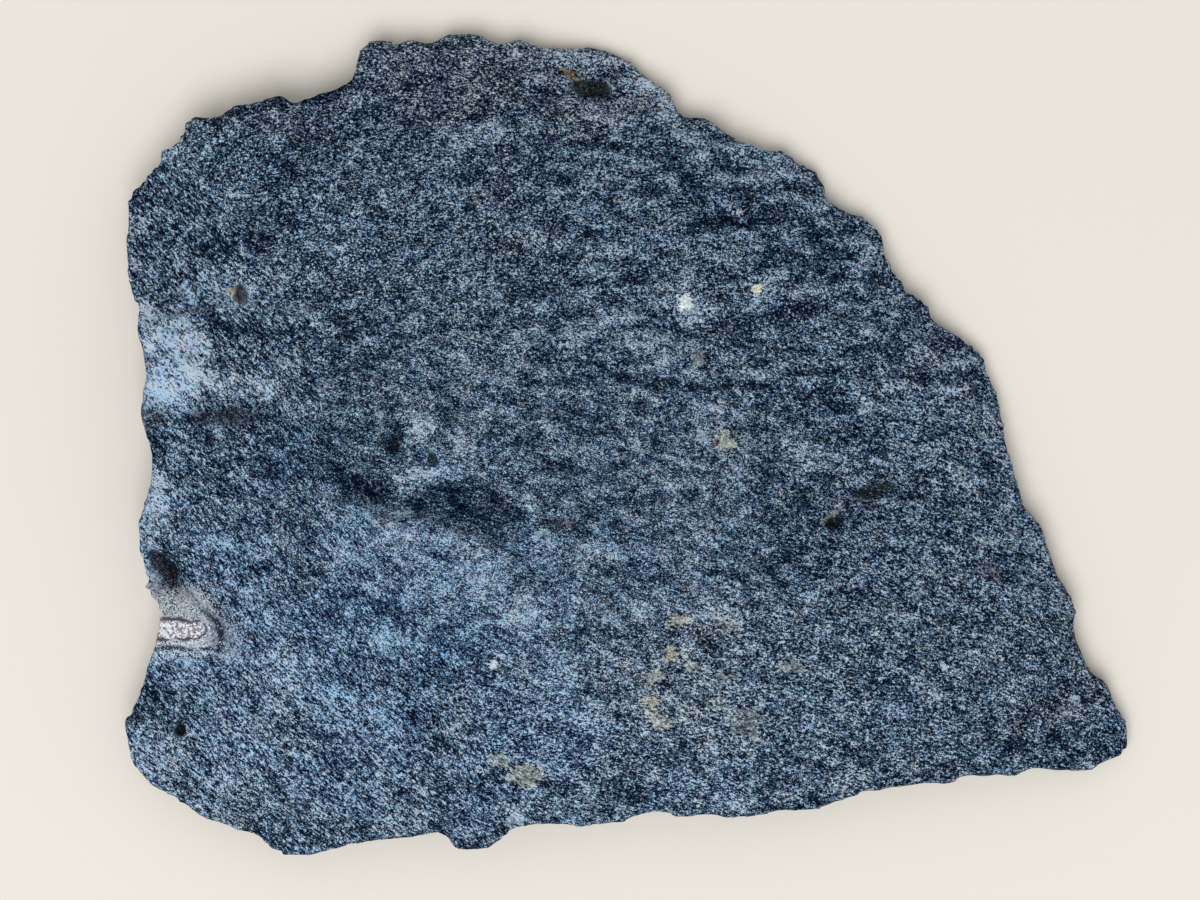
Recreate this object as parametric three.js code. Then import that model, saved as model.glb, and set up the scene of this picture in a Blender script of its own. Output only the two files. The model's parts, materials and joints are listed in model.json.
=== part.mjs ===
// A broken slab of basalt, lying with its fresh fracture face up: thickest left of its middle, and thinning to
// a sharp edge at its crest and along its right-hand break.
// Millimetres, +Z up. The origin is under the middle of the slab, on the surface that it lies on.
import * as THREE from 'three';
import { ImprovedNoise } from 'three/addons/math/ImprovedNoise.js';

// Driving dimensions
const SLAB_LENGTH = 101.2; // along X, from end to end
const CROWN_HEIGHT = 11.6; // of the upper face above the table, at its middle
const CROWN_ROUND = 1.75; // how the face falls from there to the rim: 1 would be a cone, 2 is a dome
const RIM_DROP = 0.35; // from the upper face down to the widest line of the slab
const FOOT_SHARE = 0.36; // of the rim's height, where the side turns under
const SIDE_LEAN = [0.15, 0.6]; // how far the side leans in for each millimetre down, least and most
const PATCH_REACH = 0.36; // of the flat resting patch, as a share of the way to the outline
const UNDERSIDE_DISH = 1.6; // how far the underside lifts between the resting patch and the foot

// The middle that the rings of points are drawn round
const MIDDLE = new THREE.Vector2(-6, -1);

// The broken edge as seen from above, clockwise from the pale filled cavity on the left, by stretches
const LEFT_FLANK = [
  [-46.9, -16.8], [-47.1, -15.5], [-48.1, -15.1], [-48.2, -13.3], [-48.8, -11.5], [-48.9, -9.5],
  [-48.7, -6.9], [-48.1, -4.9], [-47.7, -2.9], [-47.9, -0.8], [-48.5, 1.2], [-48.7, 2.6],
  [-48.5, 5.1], [-48.4, 7.6], [-48.6, 9.2], [-49.3, 12.4], [-49.7, 14.5], [-50.3, 16.3],
  [-50.5, 18.9], [-50.2, 21.4], [-50.4, 24.2],
];
const CHIPPED_SHOULDER = [
  [-49.5, 25.6], [-48.4, 26.8], [-47.3, 28.0], [-47.0, 29.7], [-45.3, 30.4], [-44.9, 31.6],
  [-43.8, 32.7], [-41.7, 32.8], [-39.7, 33.9], [-37.6, 34.4], [-36.0, 34.8], [-35.1, 35.3],
  [-33.9, 34.3], [-32.5, 34.7], [-30.5, 35.5], [-28.5, 36.0], [-27.3, 37.1], [-27.2, 39.2],
];
const CREST = [
  [-26.2, 40.4], [-24.9, 40.9], [-23.4, 40.4], [-21.8, 40.7], [-20.0, 40.5], [-18.5, 41.1],
  [-16.5, 41.6], [-14.6, 41.1], [-13.2, 40.5], [-11.3, 40.8], [-9.5, 40.5], [-7.7, 40.1],
  [-5.2, 40.2], [-3.4, 40.4], [-1.9, 39.9],
];
const LONG_BREAK = [
  [-0.3, 38.9], [1.4, 37.6], [3.2, 36.2], [4.3, 34.8], [5.5, 33.2], [7.5, 33.0], [9.1, 31.9],
  [10.9, 30.9], [13.7, 29.8], [15.7, 29.6], [17.0, 28.5], [18.8, 27.7], [19.6, 26.5],
  [19.7, 24.9], [21.1, 23.9], [23.2, 23.3], [24.7, 22.4], [25.7, 21.4], [26.1, 20.2],
  [26.0, 19.1], [27.1, 17.2], [28.3, 15.5], [29.8, 14.2], [31.0, 12.2], [32.9, 11.1],
  [34.9, 9.8], [36.0, 8.9], [36.2, 7.8], [36.8, 6.6], [37.4, 4.8], [37.5, 3.5], [38.0, 1.5],
  [38.4, -0.6], [39.0, -2.6], [39.6, -4.7], [40.2, -6.4], [41.2, -7.7], [41.8, -9.0],
];
const RIGHT_TIP = [
  [42.4, -11.2], [43.3, -13.0], [43.9, -14.5], [44.7, -15.8], [45.1, -17.2], [44.8, -18.4],
  [45.1, -19.6], [46.0, -21.3], [46.4, -22.9], [47.6, -23.8], [48.4, -24.7], [48.8, -26.0],
  [49.7, -27.0], [50.4, -28.3], [50.7, -29.5], [50.4, -30.8], [49.7, -31.8], [48.2, -32.0],
];
const LOWER_EDGE = [
  [47.4, -32.7], [44.6, -33.0], [42.5, -32.8], [40.0, -32.9], [39.0, -33.4], [36.5, -33.2],
  [33.7, -33.4], [32.4, -34.1], [29.8, -34.0], [27.3, -34.4], [25.5, -34.8], [23.4, -34.9],
  [22.1, -35.7], [20.1, -36.2], [18.6, -36.8], [15.2, -37.0], [12.4, -37.3], [10.2, -37.8],
  [8.9, -37.3], [6.5, -37.5], [3.8, -37.1], [1.4, -37.2], [-0.1, -37.7], [-2.7, -38.2],
  [-4.7, -38.4], [-7.0, -38.2], [-10.3, -38.4], [-12.1, -39.2], [-13.6, -40.3], [-15.4, -40.8],
  [-17.3, -40.7], [-17.9, -39.8], [-18.8, -39.0], [-21.8, -39.5], [-24.9, -39.6],
];
const LOWER_LEFT = [
  [-28.0, -40.3], [-30.5, -41.0], [-33.6, -41.5], [-35.3, -40.9], [-36.6, -39.8], [-38.6, -38.9],
  [-40.7, -38.1], [-43.2, -37.3], [-45.0, -35.9], [-47.1, -34.9], [-49.1, -33.2], [-50.2, -31.4],
  [-50.5, -29.6], [-50.5, -27.9], [-49.7, -26.6], [-49.4, -25.6], [-48.8, -24.3], [-48.4, -22.5],
  [-47.7, -20.8], [-47.3, -18.6],
];

// The stretches in order, with the height of each one's rim above the table
const STRETCHES = [
  { points: LEFT_FLANK, rim: 6.6 },
  { points: CHIPPED_SHOULDER, rim: 5.2 },
  { points: CREST, rim: 1.8 },
  { points: LONG_BREAK, rim: 1.7 },
  { points: RIGHT_TIP, rim: 2.2 },
  { points: LOWER_EDGE, rim: 4.8 },
  { points: LOWER_LEFT, rim: 5.4 },
];
const RIM_REACH = 16; // the heights are averaged twice over so many rim points each way

// Steps in the upper face, where one sheet of the fracture gives way to the next. The face drops on the
// left of the path over the cliff's width and comes back over the run.
const STEPS = [
  { name: 'middle ledge', depth: 1.4, cliff: 2.6, run: 7,
    path: [[-33, -3.5], [-30, -6.6], [-23.5, -7.4], [-18.2, -8.8], [-15, -9], [-12.4, -12.8], [-5, -15.5]] },
  { name: 'raised flake', depth: 0.6, cliff: 2, run: 5,
    path: [[-12, -2.6], [-17, -3], [-22.6, -4.4], [-23, -0.5]] },
  { name: 'left facet', depth: 1.1, cliff: 2, run: 6,
    path: [[-50, 12.2], [-46, 13], [-42, 14.2], [-37, 13.6]] },
  { name: 'left cleft', depth: 0.8, cliff: 1.8, run: 4,
    path: [[-51, 3.2], [-44, 3], [-39, 2.2], [-34, 2.4]] },
  { name: 'upright fold', depth: 0.6, cliff: 2.4, run: 6,
    path: [[-26, 1], [-27.4, 7], [-28.2, 13], [-27.6, 19]] },
  { name: 'bright ridge', depth: 0.7, cliff: 2.4, run: 6,
    path: [[28, 20.5], [19.5, 15.8], [13, 14.2], [6, 14.8], [1, 16.5]] },
  { name: 'right arc', depth: 0.5, cliff: 2.2, run: 5.5,
    path: [[24, -1], [19.5, -2.2], [14.5, -0.6], [11, 2.5]] },
  { name: 'lower fold', depth: 0.6, cliff: 2.4, run: 7,
    path: [[-33, -27], [-29, -31], [-25, -34.5]] },
];

// Hollows in the upper face: their middle, half widths, the turn of the long one from X, and depth
const HOLLOWS = [
  { name: 'notch scoop', at: [-46.9, -12.9], wide: 3.2, high: 1.9, turn: -50, depth: 1.6 },
  { name: 'filled cavity', at: [-44.6, -18.6], wide: 4.6, high: 3.2, turn: 5, depth: 0.9 },
  { name: 'crest hollow', at: [-4.5, 35.6], wide: 4.5, high: 2.2, turn: -8, depth: 0.7 },
  { name: 'right dimple', at: [22, -5.6], wide: 5, high: 2.4, turn: 20, depth: 0.6 },
  { name: 'shoulder hollow', at: [-28, 32], wide: 9, high: 4.5, turn: 10, depth: 0.9 },
];

// Waves of the upper face, from broad to fine, as noise of that size and height
const SWELLS = [
  { size: 31, height: 0.9, layer: 3.7 },
  { size: 13, height: 0.45, layer: 8.1 },
  { size: 6, height: 0.22, layer: 1.9 },
];

// Scars where flakes left the side, as rounded bites of seeded width and depth
const SIDE_SCARS = 34;
const SCAR_SEED = 4127;
const SCAR_HALF_WIDTH = [4.5, 14];
const SCAR_HALF_HEIGHT = [3, 9];
const SCAR_DEPTH = [0.8, 3.4];

// The side keeps the outline's small teeth only near the rim: this many points each way are averaged below.
// The upper face follows the outline's broad shape alone.
const TOOTH_REACH = 5;
const BROAD_REACH = 20;

// Points in each kind of ring. Neighbouring rings have as many points, or twice or half as many.
const RIM_POINTS = 336;
const FACE_POINTS = RIM_POINTS / 2;
const INNER_POINTS = RIM_POINTS / 4;
const CORE_POINTS = RIM_POINTS / 8;

const perlin = new ImprovedNoise();
const noise = (x, y, size, layer) => perlin.noise(x / size, y / size, layer);
const solidNoise = (x, y, z, size) => perlin.noise(x / size, y / size, z / size);

function seeded(seed) {
  let state = seed;
  return ([low, high]) => {
    state = (state * 16807) % 2147483647;
    return low + ((high - low) * state) / 2147483647;
  };
}

// The outline as a smooth curve at the slab's real length, with the middle of its box at the origin
function outlinePoints() {
  const drawn = STRETCHES.flatMap(({ points }) => points);
  const knots = drawn.map(([x, y]) => new THREE.Vector3(x, y, 0));
  const curve = new THREE.CatmullRomCurve3(knots, true, 'centripetal');
  curve.arcLengthDivisions = 4 * RIM_POINTS;
  const points = curve.getSpacedPoints(RIM_POINTS).slice(0, RIM_POINTS);
  const box = new THREE.Box3().setFromPoints(points);
  const centre = box.getCenter(new THREE.Vector3());
  const scale = SLAB_LENGTH / (box.max.x - box.min.x);
  return points.map((p) => new THREE.Vector2(p.x - centre.x, p.y - centre.y).multiplyScalar(scale));
}

// Values round the outline, each averaged with so many neighbours each way
function evened(values, reach) {
  return values.map((_, i) => {
    let sum = 0;
    for (let step = -reach; step <= reach; step += 1) sum += values[(i + step + RIM_POINTS) % RIM_POINTS];
    return sum / (2 * reach + 1);
  });
}

// The rim height of the stretch that a point of the outline is in
function stretchRim(edge) {
  const away = ({ points }) => Math.min(...points.map(([x, y]) => Math.hypot(x - edge.x, y - edge.y)));
  return STRETCHES.reduce((near, stretch) => (away(stretch) < away(near) ? stretch : near)).rim;
}

const outline = outlinePoints();
const spokes = outline.map((edge) => edge.distanceTo(MIDDLE));
const evenedSpokes = evened(spokes, TOOTH_REACH);
const broadSpokes = evened(spokes, BROAD_REACH);
const rims = evened(evened(outline.map(stretchRim), RIM_REACH), RIM_REACH);
const outlineLength = outline.reduce((sum, p, i) => sum + p.distanceTo(outline[(i + 1) % RIM_POINTS]), 0);

// How deep a step has cut the face at a point: full just left of its path, and fading at its two ends
function stepDepth({ path, depth, cliff, run }, x, y) {
  let nearest = { away: Infinity, side: 0, along: 0 };
  let travelled = 0;
  for (let i = 1; i < path.length; i += 1) {
    const [ax, ay] = path[i - 1];
    const dx = path[i][0] - ax;
    const dy = path[i][1] - ay;
    const length = Math.hypot(dx, dy);
    const share = THREE.MathUtils.clamp(((x - ax) * dx + (y - ay) * dy) / length ** 2, 0, 1);
    const away = Math.hypot(x - ax - share * dx, y - ay - share * dy);
    if (away < nearest.away) {
      nearest = { away, side: Math.sign(dx * (y - ay) - dy * (x - ax)), along: travelled + share * length };
    }
    travelled += length;
  }
  if (nearest.side <= 0) return 0;
  const ends = Math.min(nearest.along, travelled - nearest.along);
  const fade = THREE.MathUtils.smoothstep(ends, 0, travelled / 6);
  const drop = THREE.MathUtils.smoothstep(nearest.away, 0, cliff);
  return depth * fade * drop * (1 - THREE.MathUtils.smoothstep(nearest.away, cliff, run));
}

function hollowDepth({ at, wide, high, turn, depth }, x, y) {
  const offset = new THREE.Vector2(x - at[0], y - at[1]);
  offset.rotateAround(new THREE.Vector2(), -THREE.MathUtils.degToRad(turn));
  const reach = Math.hypot(offset.x / wide, offset.y / high);
  return depth * (1 - THREE.MathUtils.smoothstep(reach, 0, 1.3));
}

// The point of the table on the way from the middle to a point of the outline, so far from the middle
function spokePoint(edge, away) {
  return MIDDLE.clone().addScaledVector(edge.clone().sub(MIDDLE).normalize(), away);
}

// The point of the upper face at a share of the way from the middle to a point of the outline
function facePoint(edge, index, share) {
  const { x, y } = spokePoint(edge, share * spokes[index]);
  const reach = (share * spokes[index]) / broadSpokes[index];
  const crown = CROWN_HEIGHT - (CROWN_HEIGHT - rims[index]) * reach ** CROWN_ROUND;
  const swell = SWELLS.reduce((sum, s) => sum + s.height * noise(x, y, s.size, s.layer), 0);
  const steps = STEPS.reduce((sum, s) => sum + stepDepth(s, x, y), 0);
  const hollows = HOLLOWS.reduce((sum, h) => sum + hollowDepth(h, x, y), 0);
  return new THREE.Vector3(x, y, crown + (swell - steps - hollows) * Math.min(1, crown / 4));
}

function sideScars() {
  const random = seeded(SCAR_SEED);
  const spacing = outlineLength / SIDE_SCARS;
  return Array.from({ length: SIDE_SCARS }, (_, n) => ({
    at: spacing * (n + random([-0.4, 0.4])),
    height: random([-1, 7]),
    halfWidth: random(SCAR_HALF_WIDTH),
    halfHeight: random(SCAR_HALF_HEIGHT),
    depth: random(SCAR_DEPTH),
  }));
}

const scars = sideScars();

// How far the side has broken back, by the distance along the outline and the height above the table
function scarDepth(along, height) {
  return scars.reduce((deepest, scar) => {
    const round = Math.abs(along - scar.at) % outlineLength;
    const across = Math.min(round, outlineLength - round) / scar.halfWidth;
    const up = (height - scar.height) / scar.halfHeight;
    return Math.max(deepest, scar.depth * Math.sqrt(Math.max(0, 1 - across ** 2 - up ** 2)));
  }, 0);
}

// A ring of points: place gives each one's 3-D position from its point of the outline and its place in it
function ring(count, place) {
  const stride = RIM_POINTS / count;
  return Array.from({ length: count }, (_, i) => place(outline[i * stride], i * stride));
}

const faceRing = (count, share) => ring(count, (edge, index) => facePoint(edge, index, share));

const rimHeights = ring(RIM_POINTS, (edge, index) => (
  Math.max(1.1, facePoint(edge, index, 1).z - RIM_DROP + 0.4 * noise(edge.x, edge.y, 5, 6.3))
));
const footHeights = ring(RIM_POINTS, (edge, index) => (
  Math.max(0.35, rimHeights[index] * (FOOT_SHARE + 0.3 * noise(edge.x, edge.y, 9, 4.4)))
));

// How far from the middle the side stands at a height: it leans in, is bitten by the scars and is rough,
// but never shows beyond the rim
function sideReach(edge, index, height) {
  const drop = rimHeights[index] - height;
  const below = THREE.MathUtils.smoothstep(drop, 0, 3);
  const lean = THREE.MathUtils.mapLinear(noise(edge.x, edge.y, 24, 9.6), -0.5, 0.5, ...SIDE_LEAN);
  const bite = scarDepth((index / RIM_POINTS) * outlineLength, height) * below;
  const rough = 0.9 * solidNoise(edge.x, edge.y, height, 7) + 0.4 * solidNoise(edge.x, edge.y, height, 3.1);
  const evened = THREE.MathUtils.lerp(spokes[index], evenedSpokes[index], below);
  return Math.min(spokes[index] - 0.2 * below, evened - Math.max(lean, 0.05) * drop - bite - rough * below);
}

// Part of the way down the side, from the rim at 0 to the foot at 1
const sideRing = (count, down) => ring(count, (edge, index) => {
  const height = THREE.MathUtils.lerp(rimHeights[index], footHeights[index], down);
  const { x, y } = spokePoint(edge, sideReach(edge, index, height));
  return new THREE.Vector3(x, y, height);
});

const footReaches = ring(RIM_POINTS, (edge, index) => sideReach(edge, index, footHeights[index]));
const broadFootHeights = evened(footHeights, BROAD_REACH);
const broadFootReaches = evened(footReaches, BROAD_REACH);

// Under the slab, from the foot at 1 in to the edge of the resting patch at 0
const underRing = (count, out) => ring(count, (edge, index) => {
  const patch = (PATCH_REACH + 0.16 * noise(edge.x, edge.y, 17, 2.2)) * broadSpokes[index];
  const foot = THREE.MathUtils.lerp(broadFootReaches[index], footReaches[index], out ** 3);
  const footHeight = THREE.MathUtils.lerp(broadFootHeights[index], footHeights[index], out ** 3);
  const { x, y } = spokePoint(edge, THREE.MathUtils.lerp(patch, foot, out));
  const rough = 1.5 * noise(x, y, 11, 5.5) + 0.7 * noise(x, y, 5, 7.7);
  const dish = THREE.MathUtils.lerp(UNDERSIDE_DISH * out, footHeight, out ** 4);
  const lift = Math.max(0.05, dish + rough * Math.sqrt(out) * (1 - out ** 4));
  return new THREE.Vector3(x, y, out > 0 ? lift : 0);
});

// All rings, from the middle of the upper face out over the rim, down the side and in to the resting patch
function allRings() {
  const shares = (from, to, steps) => Array.from({ length: steps }, (_, i) => from + ((to - from) * i) / steps);
  return [
    ...shares(0.05, 0.2, 3).map((share) => faceRing(CORE_POINTS, share)),
    ...shares(0.2, 0.44, 5).map((share) => faceRing(INNER_POINTS, share)),
    ...shares(0.44, 0.975, 11).map((share) => faceRing(FACE_POINTS, share)),
    faceRing(FACE_POINTS, 0.97),
    faceRing(RIM_POINTS, 0.99),
    sideRing(RIM_POINTS, 0),
    sideRing(RIM_POINTS, 0.14),
    ...[0.32, 0.5, 0.68, 0.85, 1].map((down) => sideRing(FACE_POINTS, down)),
    ...[0.8, 0.58, 0.36, 0.16, 0].map((out) => underRing(INNER_POINTS, out)),
  ];
}

// Triangles between two neighbouring rings, each given by where its points start and how many it has
function band(outer, inner, turned) {
  const faces = [];
  const add = (a, b, c) => faces.push(...(turned ? [a, c, b] : [a, b, c]));
  const point = (r, i) => r.start + (i % r.count);
  for (let i = 0; i < inner.count; i += 1) {
    if (outer.count === inner.count) {
      add(point(inner, i), point(outer, i), point(outer, i + 1));
      add(point(inner, i), point(outer, i + 1), point(inner, i + 1));
    } else {
      add(point(inner, i), point(outer, 2 * i), point(outer, 2 * i + 1));
      add(point(inner, i), point(outer, 2 * i + 1), point(inner, i + 1));
      add(point(inner, i + 1), point(outer, 2 * i + 1), point(outer, 2 * i + 2));
    }
  }
  return faces;
}

function slabGeometry() {
  const rings = allRings();
  const points = [];
  const placed = rings.map((made) => {
    const start = points.length;
    points.push(...made);
    return { start, count: made.length };
  });
  const index = [];
  for (let r = 1; r < placed.length; r += 1) {
    const [before, after] = [placed[r - 1], placed[r]];
    index.push(...(after.count >= before.count ? band(after, before, true) : band(before, after, false)));
  }
  const crown = points.push(facePoint(outline[0], 0, 0)) - 1;
  const base = points.push(new THREE.Vector3(MIDDLE.x, MIDDLE.y, 0)) - 1;
  const first = placed[0];
  const last = placed[placed.length - 1];
  for (let i = 0; i < first.count; i += 1) index.push(crown, first.start + ((i + 1) % first.count), first.start + i);
  for (let i = 0; i < last.count; i += 1) index.push(base, last.start + i, last.start + ((i + 1) % last.count));
  const geometry = new THREE.BufferGeometry().setFromPoints(points).setIndex(index);
  geometry.computeVertexNormals();
  return geometry;
}

const basalt = new THREE.MeshStandardMaterial({ color: 0x4e5d6e, roughness: 0.85, metalness: 0 });
const slab = new THREE.Mesh(slabGeometry(), basalt);
slab.name = 'basalt_slab';

const specimen = new THREE.Group();
specimen.add(slab);

export default specimen;
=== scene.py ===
"""A broken slab of basalt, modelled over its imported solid, on a plain pale table.

Lengths are in millimetres where a name ends in _mm or a table says so, and in metres otherwise."""
import json
import math

import bpy
from bpy.props import FloatProperty, FloatVectorProperty, IntProperty, PointerProperty
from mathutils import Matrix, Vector

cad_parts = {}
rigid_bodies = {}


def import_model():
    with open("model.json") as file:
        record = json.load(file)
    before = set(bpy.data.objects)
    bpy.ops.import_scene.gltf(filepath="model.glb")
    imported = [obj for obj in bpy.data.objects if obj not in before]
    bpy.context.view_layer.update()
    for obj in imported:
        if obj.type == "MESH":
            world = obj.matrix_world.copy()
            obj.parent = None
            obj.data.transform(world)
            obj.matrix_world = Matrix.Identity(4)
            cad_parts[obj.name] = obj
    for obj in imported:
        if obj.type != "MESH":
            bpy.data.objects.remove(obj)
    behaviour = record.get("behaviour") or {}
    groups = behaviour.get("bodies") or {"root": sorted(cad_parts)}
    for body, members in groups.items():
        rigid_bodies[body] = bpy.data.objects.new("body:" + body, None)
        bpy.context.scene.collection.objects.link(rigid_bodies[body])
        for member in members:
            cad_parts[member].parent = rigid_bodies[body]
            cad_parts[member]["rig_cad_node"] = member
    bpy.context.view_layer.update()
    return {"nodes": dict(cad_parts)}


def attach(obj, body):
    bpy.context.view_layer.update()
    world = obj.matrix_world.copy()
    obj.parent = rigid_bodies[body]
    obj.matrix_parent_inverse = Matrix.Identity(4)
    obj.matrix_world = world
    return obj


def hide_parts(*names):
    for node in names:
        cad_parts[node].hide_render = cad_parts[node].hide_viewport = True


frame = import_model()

bl_info = {
    "name": "Basalt slab",
    "version": (1, 1, 0),
    "blender": (4, 5, 0),
    "location": "View3D > Sidebar > Basalt",
    "description": "Models a broken slab of fine-grained basalt and a plain table for it",
    "category": "Add Mesh",
}

MM = 0.001

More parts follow.
